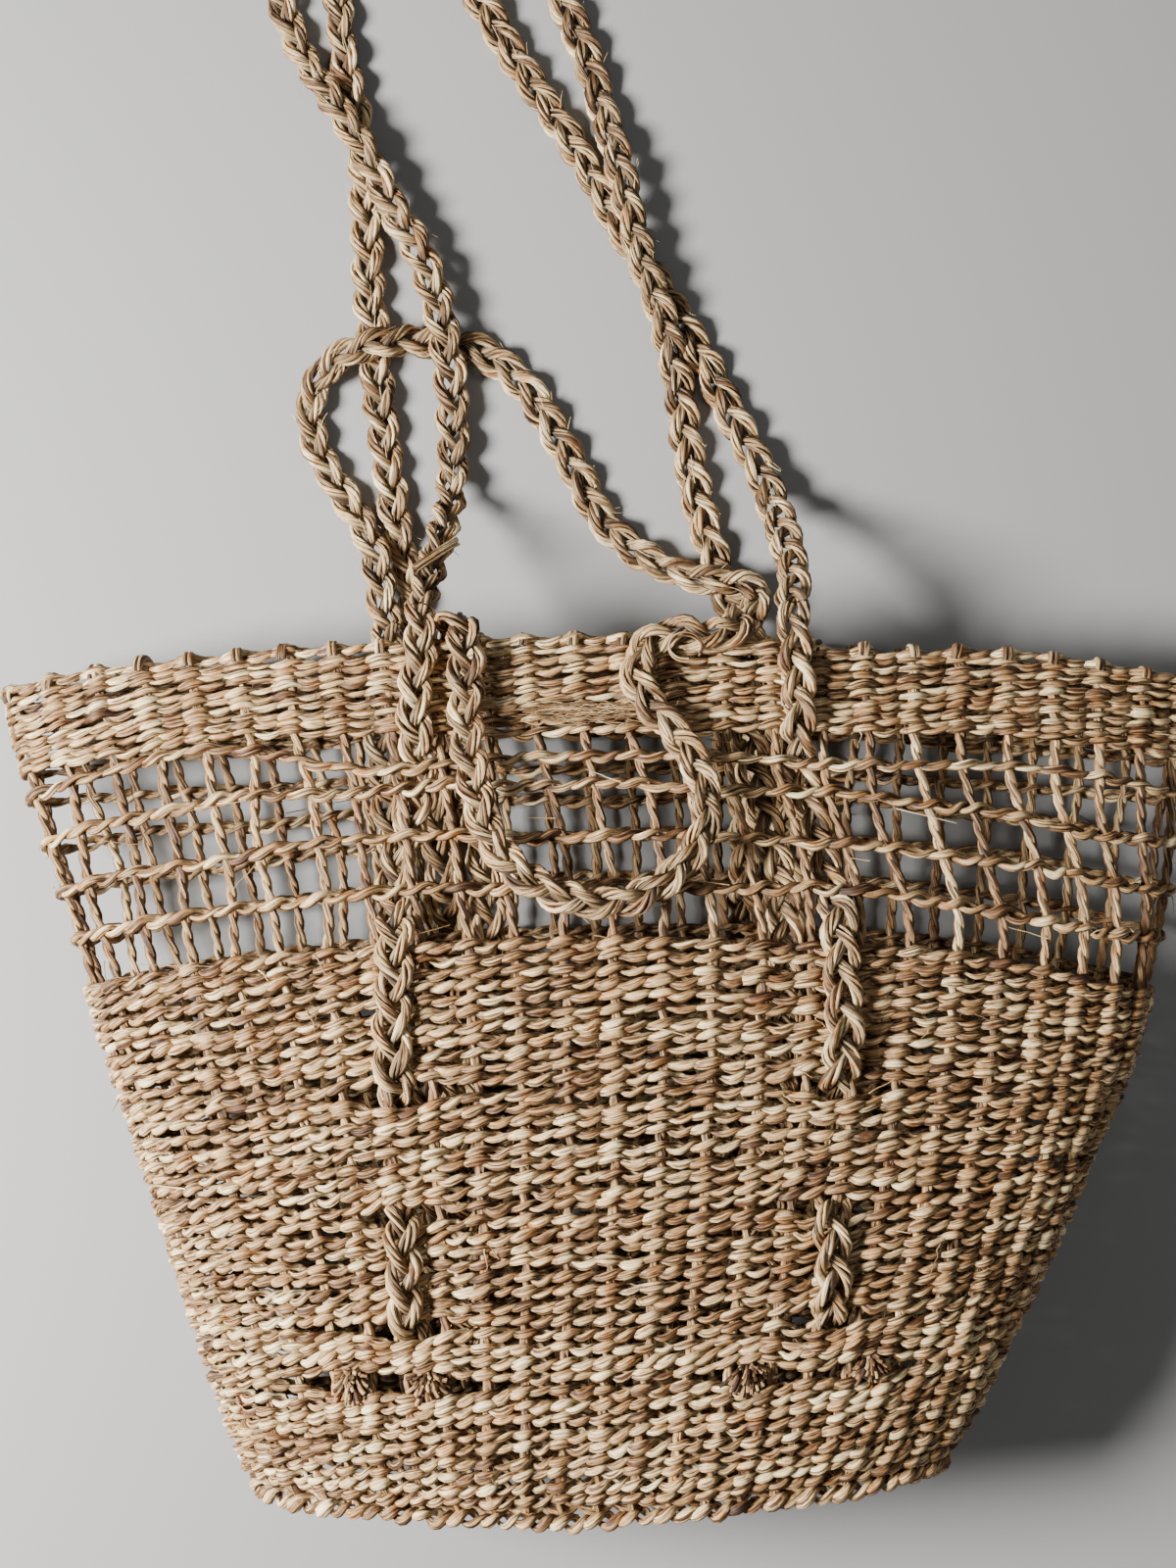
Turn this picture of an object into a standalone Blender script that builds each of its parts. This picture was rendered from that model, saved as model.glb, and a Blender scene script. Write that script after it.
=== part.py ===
"""A hand-woven seagrass tote basket that lies on its back, with two long and two short braided handles.

X runs along the mouth, Y from the base towards the mouth, and Z up from the floor. The wall is one closed
sheet, wall(turn, rise, out): turn goes once round the bag from its left edge over the front to the right
edge and back underneath, rise goes from the base (0) to the rim (1), and out leaves the sheet at a right angle.
"""

import functools
import math

import bmesh
import bpy
import numpy as np
from mathutils import Matrix, Vector

# Weave
STAKES = 52
WALL_THICK = 0.006
NET_BOTTOM = 0.63
NET_TOP = 0.87
STAKE_WIDE = 0.0042
STAKE_OUT = -0.0015
NET_CORD_RADIUS = 0.0024
NET_CORD_RISES = (0.824, 0.792, 0.742, 0.688)
RIM_BORDER_RADIUS = 0.0035
BASE_BORDER_RADIUS = 0.0045
BASE_Y = -0.155
BASE_INSET = 0.0062
EDGE_GAP = 0.0016
CORD_GAP = 0.0014
RISE_LENGTH = 0.3385

# Handles
STRAP_WIDE = 0.012
STRAP_THICK = 0.0046
STRAP_OUT = 0.0063
ROPE_RADIUS = 0.005
LONG_CROSSINGS = (0.85, 0.665, 0.455, 0.335, 0.20)
CROSSING_HALF = 0.02
TUFT_RISE = 0.145
TUFT_THICK = 0.0044
OVER_RIM = 1.024
OVER_BORDER = 1.021
EXIT_GAP = 0.0016
FOLD_GAP = 0.0024
REST_Z = 0.0059
ROPE_END = 0.005
FOLD_Y = 0.236
FOLD_Z = 0.0175
HINGES = {
    "front_long": (0.0, FOLD_Y, FOLD_Z),
    "back_long": (0.0, FOLD_Y, FOLD_Z),
    "back_short": (0.0, FOLD_Y, FOLD_Z),
    "front_short": (0.0, 0.172, 0.059),
}

# Middle of the underside of the bag's box, which is moved to the origin
BAG_MIDDLE = (0.0021, -0.0072, 0.0004)

# Each long leg weaves through the gaps of these columns at the rises above, from the rim to its last slot.
LONG_LEGS = {
    "front_left": (9.4, 9, 8, 8, 8, 7),
    "front_right": (17, 17, 17, 17, 17, 18),
    "back_left": (43, 43, 43, 43, 43, 43),
    "back_right": (36, 36, 36, 36, 36, 36),
}
# Each short leg runs down the inside from the first column, and drifts to the second from the given rise.
SHORT_LEGS = {
    "front_left": (10, 9, 0.66),
    "front_right": (16, 16, 0.66),
    "back_left": (43.5, 44, 1.02),
    "back_right": (35.7, 35, 1.02),
}
TUFTS = {
    "tuft_front_left_long": 6,
    "tuft_front_left_short": 8,
    "tuft_front_right_long": 19,
    "tuft_front_right_short": 16,
    "tuft_back_left_long": 42,
    "tuft_back_left_short": 44,
    "tuft_back_right_long": 37,
    "tuft_back_right_short": 35,
}

# Where the free ropes lie beyond the rim, in millimetres, from their left end to their right end.
FRONT_LONG = [
    (-69, 186, 47), (-64.5, 206, 31), (-62, 222, 19), (-61, 236, 12), (-61, 262, 10), (-63, 284, 17), (-66, 300, 17.2),
    (-73, 324, 15), (-83, 341, 16), (-95, 364, 16.5), (-105, 382, 16.5), (-114, 396, 11), (-124, 411, 5.9),
    (-134.5, 436, 5.9), (-139, 458, 5.9), (-133.5, 478, 6), (-120, 491, 13), (-105, 494, 16.5), (-90, 490, 16.5),
    (-77, 480, 14), (-65, 465, 6.5), (-57, 452, 5.9), (-49.5, 436, 5.9), (-37, 415, 5.9), (-20.5, 390, 5.9),
    (-4.5, 366, 5.9), (9, 340, 5.9), (34, 303, 5.9), (46, 282, 5.9), (58.5, 257, 7), (69, 236, 12), (74, 220, 20),
    (78, 203, 33), (80, 186, 48),
]
BACK_LONG = [
    (-78, 183, 5.9), (-82, 198, 5.9), (-86, 219, 5.9), (-88.5, 236, 5.9), (-90.5, 252, 5.9), (-93.5, 278, 5.9),
    (-96.4, 311, 5.9), (-98, 344, 5.9), (-99, 367, 5.9), (-102.5, 390, 5.9), (-107, 411, 5.9), (-110, 436, 5.9),
    (-110, 457, 5.9), (-103.5, 479, 5.9), (-86, 497, 5.9), (-62, 503, 5.9), (-37, 490, 5.9), (-21, 465, 5.9),
    (-14, 436, 5.9), (-4, 411, 5.9), (3, 387, 8), (9, 366, 15.5), (12.5, 352, 16.6), (16, 335, 16.6), (22, 316, 16.6),
    (28, 299, 15.5), (33, 281, 8), (36, 261, 5.9), (40, 236, 5.9), (44, 219, 5.9), (50, 198, 5.9), (55, 183, 5.9),
]
BACK_SHORT = [
    (-91, 184, 16.2), (-93.5, 200, 15), (-103.5, 220, 7), (-114, 236, 5.9), (-121, 252, 5.9), (-121, 268, 8),
    (-111, 282, 15.5), (-97, 288, 17.8), (-88, 289.7, 17), (-77, 291, 8), (-68, 291, 5.9), (-58, 290, 5.9),
    (-47, 286, 5.9), (-29, 270, 5.9), (-14, 246, 5.9), (-9, 236, 5.9), (4, 213, 6), (24, 197, 11),
    (45, 189.5, 17), (60, 188, 17), (71, 183, 17),
]
FRONT_SHORT = [
    (-53, 167, 70), (-52, 158, 71.5), (-52, 144, 71.5), (-52, 128, 75), (-49, 107, 83), (-43, 85, 87),
    (-30.5, 69, 90), (-15, 60, 91.5), (0, 57, 92), (19, 61, 91.5), (34, 73, 90), (43, 91, 86.5), (40, 108, 82.5),
    (31, 123, 77), (20, 136, 74), (15, 149, 71.5), (20, 160, 69.5), (31, 164, 69), (43, 162, 69), (54, 164, 68.5),
]

# Colours and roughness
SEAGRASS = (0.46, 0.30, 0.17, 1)
NET_GRASS = (0.42, 0.27, 0.15, 1)
BRAID_GRASS = (0.50, 0.37, 0.22, 1)
ROUGHNESS = 0.72


def clear_scene():
    for old in list(bpy.data.objects):
        bpy.data.objects.remove(old, do_unlink=True)


def make_material(name, colour):
    material = bpy.data.materials.new(name)
    material.use_nodes = True
    shader = material.node_tree.nodes["Principled BSDF"]
    shader.inputs["Base Color"].default_value = colour
    shader.inputs["Roughness"].default_value = ROUGHNESS
    shader.inputs["Metallic"].default_value = 0.0
    return material


def add_object(name, data, material):
    obj = bpy.data.objects.new(name, data)
    data.materials.append(material)
    bpy.context.scene.collection.objects.link(obj)
    return obj


def smooth(x):
    x = min(max(x, 0.0), 1.0)
    return x * x * (3 - 2 * x)


@functools.lru_cache(maxsize=None)
def half_ring(rise, front):
    """Points of the front or back half of the bag's outline at this rise, and their distance along it from 0 to 1."""
    up = max(rise, 0.0)
    left = np.array((-0.1375 - 0.106 * rise - 0.003 * math.sin(math.pi * up), -0.171 + 0.309 * rise))
    right = np.array((0.140 + 0.105 * rise + 0.021 * math.sin(math.pi * up), -0.160 + 0.304 * rise))
    bow = -0.0095 + 0.032 * math.sin(math.pi * up / 2)
    corner = max(1 - up / 0.1, 0.0) ** 2
    low = 0.0088 - 0.0043 * corner
    top = 0.058 + 0.044 * (1 - up**1.6) - 0.010 * corner
    side = 0.42 * (low + top)
    angle = np.linspace(0, math.pi, 161)
    across = 0.5 - 0.5 * np.cos(angle)
    x = left[0] + (right[0] - left[0]) * across
    y = left[1] + (right[1] - left[1]) * across + bow * np.sin(angle) ** 2
    if front:
        z = side + (top - side) * np.sin(angle) ** (0.5 + 0.3 * up)
    else:
        z = side - (side - low) * np.sin(angle) ** 0.4
    points = np.stack([x, y, z], axis=1)
    steps = np.linalg.norm(np.diff(points, axis=0), axis=1)
    along = np.concatenate([[0], np.cumsum(steps)])
    return points, along / along[-1]


def sheet_point(turn, rise):
    turn = turn % 1.0
    front = turn <= 0.5
    along = 2 * turn if front else 2 * (1 - turn)
    if front:
        lean = smooth((NET_TOP - rise) / (NET_TOP - NET_BOTTOM))
        along += 2 / STAKES * lean * math.sin(math.pi * along**3)
    points, marks = half_ring(round(rise, 5), front)
    return Vector([float(np.interp(along, marks, points[:, axis])) for axis in range(3)])


def sheet_directions(turn, rise):
    """The direction round the bag and the direction out of its wall at a point."""
    step = 0.004
    across = sheet_point(turn + step, rise) - sheet_point(turn - step, rise)
    along = sheet_point(turn, rise + step) - sheet_point(turn, rise - step)
    return across.normalized(), across.cross(along).normalized()


def wall(turn, rise, out=0.0):
    return sheet_point(turn, rise) + sheet_directions(turn, rise)[1] * out


def panel(name, turns, rises, out, thick, material, leave_out=None):
    """A sheet of the wall between these turns and rises, closed all round where the turns span 1."""
    mesh = bmesh.new()
    across, up = len(turns) - 1, len(rises) - 1
    bmesh.ops.create_grid(mesh, x_segments=across, y_segments=up, size=0.5)
    cells = {}
    for vertex in mesh.verts:
        cells[vertex] = (round((vertex.co.x + 0.5) * across), round((vertex.co.y + 0.5) * up))
    open_faces = []
    for face in mesh.faces:
        column = min(cells[vertex][0] for vertex in face.verts)
        row = min(cells[vertex][1] for vertex in face.verts)
        if leave_out and leave_out(column, row):
            open_faces.append(face)
    for vertex, (column, row) in cells.items():
        vertex.co = wall(turns[column], rises[row], out)
    bmesh.ops.delete(mesh, geom=open_faces, context="FACES")
    bmesh.ops.remove_doubles(mesh, verts=mesh.verts, dist=0.00002)
    data = bpy.data.meshes.new(name)
    mesh.to_mesh(data)
    mesh.free()
    obj = add_object(name, data, material)
    solid = obj.modifiers.new("Thickness", "SOLIDIFY")
    solid.thickness = thick
    solid.offset = 0
    solid.use_even_offset = True
    return obj


def column_turns():
    """Column edges round the bag: one per stake at the handles, and one per two stakes elsewhere."""
    fine = set(range(5, 20)) | set(range(33, 46))
    edges = [stake for stake in range(STAKES) if stake in fine or stake % 2 == 0]
    return [(stake + 0.5) / STAKES for stake in edges] + [1 + 0.5 / STAKES]


def make_lower_wall(material):
    slots = []
    for columns in LONG_LEGS.values():
        for column, rise in zip(columns[3:], LONG_CROSSINGS[2:]):
            slots.append((column, rise))
    for column in TUFTS.values():
        slots.append((column, TUFT_RISE))
    rises = [0.0, 0.05, 0.125, 0.165, 0.176, 0.224, 0.268, 0.311, 0.359, 0.395, 0.431, 0.479, 0.53, 0.58, NET_BOTTOM]
    turns = column_turns()

    def leave_out(column, row):
        turn = (turns[column] + turns[column + 1]) / 2
        rise = (rises[row] + rises[row + 1]) / 2
        for slot_column, slot_rise in slots:
            if abs(turn * STAKES - slot_column) < 0.4 and abs(rise - slot_rise) < CROSSING_HALF:
                return True
        return False

    panel("lower_wall", turns, rises, 0.0, WALL_THICK, material, leave_out)


def make_rim_band(material):
    top = 1 - (2 * RIM_BORDER_RADIUS + EDGE_GAP) / RISE_LENGTH
    panel("rim_band", column_turns(), [NET_TOP, 0.92, top], 0.0, WALL_THICK, material)


def make_stakes(name, first, count, material):
    """A comb of net stakes that stand in one foot row."""
    half = STAKE_WIDE / 2 / 0.0185 / STAKES
    turns = []
    for stake in range(first, first + count):
        centre = (stake + 0.5) / STAKES
        turns += [centre - half, centre + half]
    foot = NET_BOTTOM + EDGE_GAP / RISE_LENGTH
    rises = [foot, foot + 0.011, 0.71, 0.79, NET_TOP - EDGE_GAP / RISE_LENGTH]

    def between_stakes(column, row):
        return row > 0 and column % 2 == 1

    panel(name, turns, rises, STAKE_OUT, STAKE_WIDE, material, between_stakes)


def make_tube(name, points, radius, material, closed=False, sides=2):
    curve = bpy.data.curves.new(name, "CURVE")
    curve.dimensions = "3D"
    curve.bevel_depth = radius
    curve.bevel_resolution = sides
    curve.use_fill_caps = True
    spline = curve.splines.new("POLY")
    spline.points.add(len(points) - 1)
    for target, point in zip(spline.points, points):
        target.co = (*point, 1)
    spline.use_cyclic_u = closed
    return add_object(name, curve, material)


def make_ring(name, rise, out, radius, material):
    points = [wall((stake + 0.5) / STAKES, rise, out) for stake in range(STAKES)]
    make_tube(name, points, radius, material, closed=True, sides=1)


def make_base_panel(material):
    """A flat oval plate that closes the bag, inside the foot of its wall."""
    mesh = bmesh.new()
    rim = []
    for step in range(40):
        turn = step / 40
        rise = (BASE_Y - wall(turn, 0).y) / RISE_LENGTH
        inside = wall(turn, rise, -WALL_THICK / 2 - BASE_INSET)
        rim.append(mesh.verts.new((inside.x, BASE_Y + WALL_THICK / 2, inside.z)))
    face = mesh.faces.new(rim)
    made = bmesh.ops.extrude_face_region(mesh, geom=[face])
    moved = [item for item in made["geom"] if isinstance(item, bmesh.types.BMVert)]
    bmesh.ops.translate(mesh, verts=moved, vec=(0, -WALL_THICK, 0))
    bmesh.ops.recalc_face_normals(mesh, faces=mesh.faces)
    data = bpy.data.meshes.new("base_panel")
    mesh.to_mesh(data)
    mesh.free()
    add_object("base_panel", data, material)


def sweep(name, frames, material, sides=6):
    """A closed solid through these sections: centre, width and thickness directions, half width, half thickness."""
    mesh = bmesh.new()
    before = None
    for number, (centre, wide, thick, half_wide, half_thick) in enumerate(frames):
        ends = number in (0, len(frames) - 1)
        turned = Matrix((wide * half_wide, thick * half_thick, wide.cross(thick))).transposed().to_4x4()
        place = Matrix.Translation(centre) @ turned
        made = bmesh.ops.create_circle(mesh, cap_ends=ends, segments=sides, radius=1, matrix=place)
        edges = list({edge for vertex in made["verts"] for edge in vertex.link_edges})
        if before:
            bmesh.ops.bridge_loops(mesh, edges=before + edges)
        before = edges
    bmesh.ops.recalc_face_normals(mesh, faces=mesh.faces)
    data = bpy.data.meshes.new(name)
    mesh.to_mesh(data)
    mesh.free()
    return add_object(name, data, material)


def strap(name, stations, half_widths, half_thick, material):
    """A flat strap along stations (turn, rise, out) of the wall, its flat side to the wall."""
    centres = [wall(*station) for station in stations]
    frames = []
    for number, centre in enumerate(centres):
        ahead = centres[min(number + 1, len(centres) - 1)]
        behind = centres[max(number - 1, 0)]
        along = (ahead - behind).normalized()
        across = sheet_directions(stations[number][0], stations[number][1])[0]
        wide = (across - along * across.dot(along)).normalized()
        frames.append((centre, wide, wide.cross(along), half_widths[number], half_thick))
    return sweep(name, frames, material)


def long_leg_stations(columns):
    """From over the rim, outside the rim band, in behind the net, out over the wall, in, out and in again."""
    rises = [OVER_RIM, 0.985, 0.95, 0.91]
    for crossing in LONG_CROSSINGS:
        rises += [crossing + CROSSING_HALF * part for part in (1.1, 0.6, 0.2, -0.2, -0.6, -1.1)]
    rises += [0.75, 0.79, 0.55, 0.6, 0.5, 0.395, 0.29, 0.25]
    marks = (LONG_CROSSINGS[0] + CROSSING_HALF * 1.2,) + LONG_CROSSINGS
    stations = []
    for rise in sorted(rises, reverse=True):
        column = columns[0]
        for number, crossing in enumerate(LONG_CROSSINGS):
            before = OVER_RIM if number == 0 else LONG_CROSSINGS[number - 1] - 1.2 * CROSSING_HALF
            after = marks[number + 1] + 1.2 * CROSSING_HALF
            column += (columns[number + 1] - columns[number]) * smooth((before - rise) / (before - after))
        side = 1.0
        for crossing in LONG_CROSSINGS:
            side *= 1 - 2 * smooth((crossing + CROSSING_HALF - rise) / (2 * CROSSING_HALF))
        stations.append((column / STAKES, rise, STRAP_OUT * side))
    return stations


def short_leg_stations(columns, over_border):
    """Down the inside of the bag. A front one starts where it has bent over the rim border."""
    start, end, drift = columns
    stations = []
    if over_border:
        stations = [(start / STAKES, OVER_BORDER, out) for out in (-0.0005, -0.0025)]
        stations.append((start / STAKES, 1.012, -0.005))
    for step in range(13):
        rise = (0.995 if over_border else OVER_RIM) - 0.067 * step
        column = start + (end - start) * smooth((drift - rise) / 0.17)
        stations.append((column / STAKES, rise, -STRAP_OUT))
    return stations


def make_legs(material):
    for place, columns in LONG_LEGS.items():
        stations = long_leg_stations(columns)
        strap("leg_long_" + place, stations, [STRAP_WIDE / 2] * len(stations), STRAP_THICK / 2, material)
    for place, columns in SHORT_LEGS.items():
        stations = short_leg_stations(columns, place.startswith("front"))
        strap("leg_short_" + place, stations, [STRAP_WIDE / 2] * len(stations), STRAP_THICK / 2, material)


def make_tufts(material):
    """The cut end of each leg: a plug through its slot and a brush that lies on the wall below it."""
    outs = (-0.0015, 0.0015, 0.0042, 0.0056, 0.0058)
    rises = (0.012, 0.008, 0.0, -0.02, -0.045)
    half_widths = (0.0036, 0.0040, 0.0044, 0.0060, 0.0075)
    for name, column in TUFTS.items():
        stations = [(column / STAKES, TUFT_RISE + rise, out) for rise, out in zip(rises, outs)]
        strap(name, stations, half_widths, TUFT_THICK / 2, material)


def rope_curve(points):
    """Even points of a smooth curve through these."""
    knots = [2 * points[0] - points[1]] + points + [2 * points[-1] - points[-2]]
    fine = []
    for number in range(1, len(knots) - 2):
        a, b, c, d = knots[number - 1 : number + 3]
        for step in range(12):
            u = step / 12
            bent = (2 * a - 5 * b + 4 * c - d) * u**2 + (3 * b - a - 3 * c + d) * u**3
            fine.append(0.5 * (2 * b + (c - a) * u + bent))
    fine.append(points[-1])
    marks = [0.0]
    for a, b in zip(fine, fine[1:]):
        marks.append(marks[-1] + (b - a).length)
    inner = np.linspace(ROPE_END, marks[-1] - ROPE_END, round(marks[-1] / (4 * ROPE_RADIUS)) + 1)
    even = [0.0, *inner, marks[-1]]
    table = np.array([tuple(point) for point in fine])
    return [Vector([float(np.interp(mark, marks, table[:, axis])) for axis in range(3)]) for mark in even]


def rim_exit(stations):
    """Where a rope leaves the end of its strap, just past the rim, and a point a little further along the strap."""
    end = wall(*stations[0])
    along = (end - wall(*stations[1])).normalized()
    return [above_floor(end + along * distance) for distance in (EXIT_GAP, EXIT_GAP + ROPE_END)]


def above_floor(point):
    return Vector((point.x, point.y, max(point.z, REST_Z)))


def cut_at_fold(points):
    """The left drape, the loop and the right drape of a rope, with a small gap at the fold line."""
    pieces = [[points[0]]]
    for a, b in zip(points, points[1:]):
        if (a.y < FOLD_Y) != (b.y < FOLD_Y):
            cut = a.lerp(b, (FOLD_Y - a.y) / (b.y - a.y))
            along = (b - a).normalized()
            pieces[-1] = [point for point in pieces[-1] if (point - cut).length > ROPE_RADIUS]
            pieces[-1].append(cut - along * FOLD_GAP / 2)
            pieces.append([cut + along * FOLD_GAP / 2])
        if (b - pieces[-1][0]).length > ROPE_RADIUS:
            pieces[-1].append(b)
    return pieces


def make_ropes(hinges, material):
    """The three handles that lie beyond the rim fold up along one line, and the fourth lifts off the front."""
    for name, route in (("front_long", FRONT_LONG), ("back_long", BACK_LONG), ("back_short", BACK_SHORT)):
        place, size = name.split("_")
        ends = []
        for side in ("left", "right"):
            if size == "long":
                stations = long_leg_stations(LONG_LEGS[f"{place}_{side}"])
            else:
                stations = short_leg_stations(SHORT_LEGS[f"{place}_{side}"], False)
            ends.append(rim_exit(stations))
        points = ends[0] + [Vector(point) / 1000 for point in route] + ends[1][::-1]
        drape_left, loop, drape_right = cut_at_fold(rope_curve(points))
        make_tube(f"rope_{name}_left", drape_left, ROPE_RADIUS, material)
        make_tube(f"rope_{name}_right", drape_right, ROPE_RADIUS, material)
        hang(make_tube(f"loop_{name}", loop, ROPE_RADIUS, material), hinges[name])
    ends = [rim_exit(short_leg_stations(SHORT_LEGS["front_" + side], True)) for side in ("left", "right")]
    points = ends[0] + [Vector(point) / 1000 for point in FRONT_SHORT] + ends[1][::-1]
    hang(make_tube("loop_front_short", rope_curve(points), ROPE_RADIUS, material), hinges["front_short"])


def hang(obj, hinge):
    obj.parent = hinge
    obj.location = -hinge.location


def make_empty(name, location, parent=None):
    empty = bpy.data.objects.new(name, None)
    empty.location = location
    empty.parent = parent
    bpy.context.scene.collection.objects.link(empty)
    return empty


def main():
    clear_scene()
    basket = make_empty("basket", -Vector(BAG_MIDDLE))
    hinges = {name: make_empty("hinge_" + name, point, basket) for name, point in HINGES.items()}
    grass = make_material("seagrass_weave", SEAGRASS)
    net = make_material("seagrass_net", NET_GRASS)
    braid = make_material("seagrass_braid", BRAID_GRASS)
    make_base_panel(grass)
    make_ring("base_border", -(BASE_BORDER_RADIUS + EDGE_GAP) / RISE_LENGTH, 0.0, BASE_BORDER_RADIUS, grass)
    make_lower_wall(grass)
    make_stakes("stakes_front_left", 0, 13, net)
    make_stakes("stakes_front_right", 13, 13, net)
    make_stakes("stakes_back_right", 26, 13, net)
    make_stakes("stakes_back_left", 39, 13, net)
    cord_out = STAKE_OUT + STAKE_WIDE / 2 + CORD_GAP + NET_CORD_RADIUS
    for number, rise in enumerate(NET_CORD_RISES, 1):
        make_ring(f"net_cord_{number}", rise, cord_out, NET_CORD_RADIUS, net)
    make_rim_band(grass)
    make_ring("rim_border", 1 - RIM_BORDER_RADIUS / RISE_LENGTH, 0.0, RIM_BORDER_RADIUS, grass)
    make_legs(braid)
    make_tufts(braid)
    make_ropes(hinges, braid)
    for obj in bpy.context.scene.collection.objects:
        if obj.parent is None and obj != basket:
            obj.parent = basket


main()
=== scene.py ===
"""A hand-woven seagrass tote basket that lies on its back, twined over the frame of its solid parts.

X runs along the mouth, Y from the base towards the mouth, and Z up from the floor. The wall is one closed
sheet: turn goes once round the bag from its left edge over the front, rise goes from the base (0) to the
rim (1), and out leaves the sheet at a right angle. Every ply, stake and cord is laid on that sheet.
"""

import functools
import math

import bmesh
import bpy
import numpy as np
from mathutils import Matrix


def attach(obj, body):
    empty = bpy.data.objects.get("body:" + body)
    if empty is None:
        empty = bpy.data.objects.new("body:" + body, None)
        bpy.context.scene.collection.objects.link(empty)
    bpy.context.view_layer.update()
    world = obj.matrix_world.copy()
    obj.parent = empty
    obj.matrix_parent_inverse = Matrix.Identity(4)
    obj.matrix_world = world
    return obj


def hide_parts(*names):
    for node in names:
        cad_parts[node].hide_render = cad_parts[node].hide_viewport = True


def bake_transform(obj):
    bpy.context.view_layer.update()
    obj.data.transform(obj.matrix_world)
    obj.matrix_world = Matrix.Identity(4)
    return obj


bl_info = {
    "name": "Seagrass Tote Basket",
    "version": (1, 0, 0),
    "blender": (4, 5, 0),
    "location": "3D View > Sidebar > Basket",
    "description": "Twines a seagrass basket and braids its handles over the frame of its solid parts",
    "category": "Add Mesh",
}

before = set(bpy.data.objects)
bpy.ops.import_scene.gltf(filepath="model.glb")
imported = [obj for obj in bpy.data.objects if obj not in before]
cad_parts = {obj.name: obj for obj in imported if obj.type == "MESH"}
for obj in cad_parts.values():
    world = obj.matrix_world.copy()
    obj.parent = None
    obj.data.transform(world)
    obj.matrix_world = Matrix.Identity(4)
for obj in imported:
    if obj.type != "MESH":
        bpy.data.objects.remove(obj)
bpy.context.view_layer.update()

# The wall sheet. RISE_LENGTH is the length of a rise of 1, in metres.
STAKES = 52
STAKES_PER_COMB = 13
RISE_LENGTH = 0.3385
NET_BOTTOM = 0.63
NET_TOP = 0.87
BAG_MIDDLE = np.array((0.0021, -0.0072, 0.0004))
BASE_Y = -0.155
GRID_TURNS = 832
GRID_RISES = 120
GRID_LOW = -0.06
GRID_HIGH = 1.06

# Twined rows: points from stake to stake, and how each ply shows as a leaf
ROW_POINTS = 10
CORD_POINTS = 12
BASE_POINTS = 6
ROW_OUT = 0.0026
LEAF_LEAD = 0.45
LEAF_LENGTH = 0.6
UNEVENNESS = 0.35
WANDER = 0.0004
WANDER_WAVES = (2, 4, 7, 13)
BASE_PITCH = 0.0048

# Legs of the handles. A long one has a stake gap at the rim and at each of its crossings; a short one has
# its first and last gap, and the rise from which it drifts from one to the other.
STRAP_OUT = 0.0063
LONG_CROSSINGS = (0.864, 0.668, 0.462, 0.322, 0.197)
CROSSING_HALF = 0.02
CROSSING_EASE = 1.2 * CROSSING_HALF
TUFT_RISE = 0.145
OVER_RIM = 1.024
OVER_BORDER = 1.021
LONG_LEG_END = 0.165
SHORT_LEG_TOP = 0.995
SHORT_LEG_END = 0.17
EXIT_GAP = 0.0016
REST_Z = 0.0059
LONG_LEGS = {
    "front_left": (9.4, 9, 8, 7.7, 7.6, 7.6),
    "front_right": (17, 17, 17, 17.2, 17.4, 17.7),
    "back_left": (43,) * 6,
    "back_right": (36,) * 6,
}
SHORT_LEGS = {
    "front_left": (10, 9, 0.66),
    "front_right": (16, 16, 0.66),
    "back_left": (43.5, 44, 1.02),
    "back_right": (35.7, 35, 1.02),
}
TUFTS = {
    "front_left_long": 6,
    "front_left_short": 8,
    "front_right_long": 19,
    "front_right_short": 16,
    "back_left_long": 42,
    "back_left_short": 44,
    "back_right_long": 37,
    "back_right_short": 35,
}

# The free ropes in millimetres, from left end to right end. A point with no height lies on the floor.
FRONT_LONG = [
    (-69, 186, 47), (-64.5, 206, 31), (-62, 222, 19), (-61, 236, 12), (-61, 262, 10), (-63, 284, 17),
    (-66, 300, 17.2), (-73, 324, 15), (-83, 341, 16), (-95, 364, 16.5), (-105, 382, 16.5), (-114, 396, 11),
    (-124, 411), (-134.5, 436), (-139, 458), (-133.5, 478, 6), (-120, 491, 13), (-105, 494, 16.5),
    (-90, 490, 16.5), (-77, 480, 14), (-65, 465, 6.5), (-57, 452), (-49.5, 436), (-37, 415), (-20.5, 390),
    (-4.5, 366), (9, 340), (34, 303), (46, 282), (58.5, 257, 7), (69, 236, 12), (74, 220, 20),
    (78, 203, 33), (80, 186, 48),
]
BACK_LONG = [
    (-78, 183), (-82, 198), (-86, 219), (-88.5, 236), (-90.5, 252), (-93.5, 278), (-96.4, 311), (-98, 344),
    (-99, 367), (-102.5, 390), (-107, 411), (-110, 436), (-110, 457), (-103.5, 479), (-86, 497), (-62, 503),
    (-37, 490), (-21, 465), (-14, 436), (-4, 411), (3, 387, 8), (9, 366, 15.5), (12.5, 352, 16.6),
    (16, 335, 16.6), (22, 316, 16.6), (28, 299, 15.5), (33, 281, 8), (36, 261), (40, 236), (44, 219),
    (50, 198), (55, 183),
]
BACK_SHORT = [
    (-91, 184, 16.2), (-93.5, 200, 15), (-103.5, 220, 7), (-114, 236), (-121, 252), (-121, 268, 8),
    (-111, 282, 15.5), (-97, 288, 17.8), (-88, 289.7, 17), (-77, 291, 8), (-68, 291), (-58, 290),
    (-47, 286), (-29, 270), (-14, 246), (-9, 236), (4, 213, 6), (24, 197, 11), (45, 189.5, 17),
    (60, 188, 17), (71, 183, 17),
]
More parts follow.
